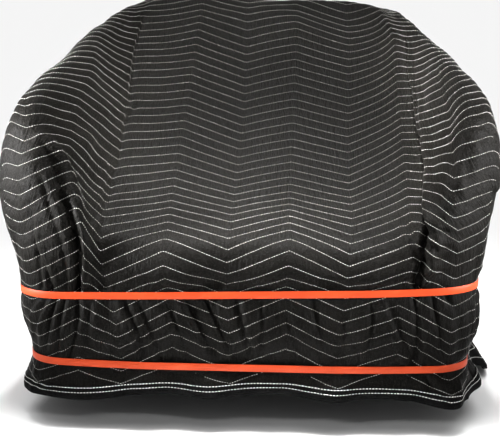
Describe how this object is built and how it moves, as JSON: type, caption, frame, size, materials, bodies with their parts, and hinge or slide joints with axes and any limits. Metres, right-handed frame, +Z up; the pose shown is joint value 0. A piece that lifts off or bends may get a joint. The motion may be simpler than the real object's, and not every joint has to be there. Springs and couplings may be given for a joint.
{
  "type": "moving pad",
  "caption": "Black zigzag-quilted moving pad draped over an armchair shape, bound at the edge and strapped with two orange rubber bands.",
  "frame": {"origin": "under the top of the cloth, in the middle, where the top of a seat back carries the pad", "axes": "+Z up, -Y towards the front of the covered seat, +X to the right seen from the front"},
  "size_m": [0.9916, 0.8193, 0.7932],
  "materials": {
    "quilted_cloth": "satin woven cotton and polyester, zigzag quilted",
    "binding_tape": "matte woven tape, stitched twice",
    "orange_rubber": "satin rubber"
  },
  "bodies": {
    "root": {"pad": "quilted_cloth", "binding": "binding_tape", "band_upper": "orange_rubber", "band_lower": "orange_rubber"}
  },
  "joints": []
}
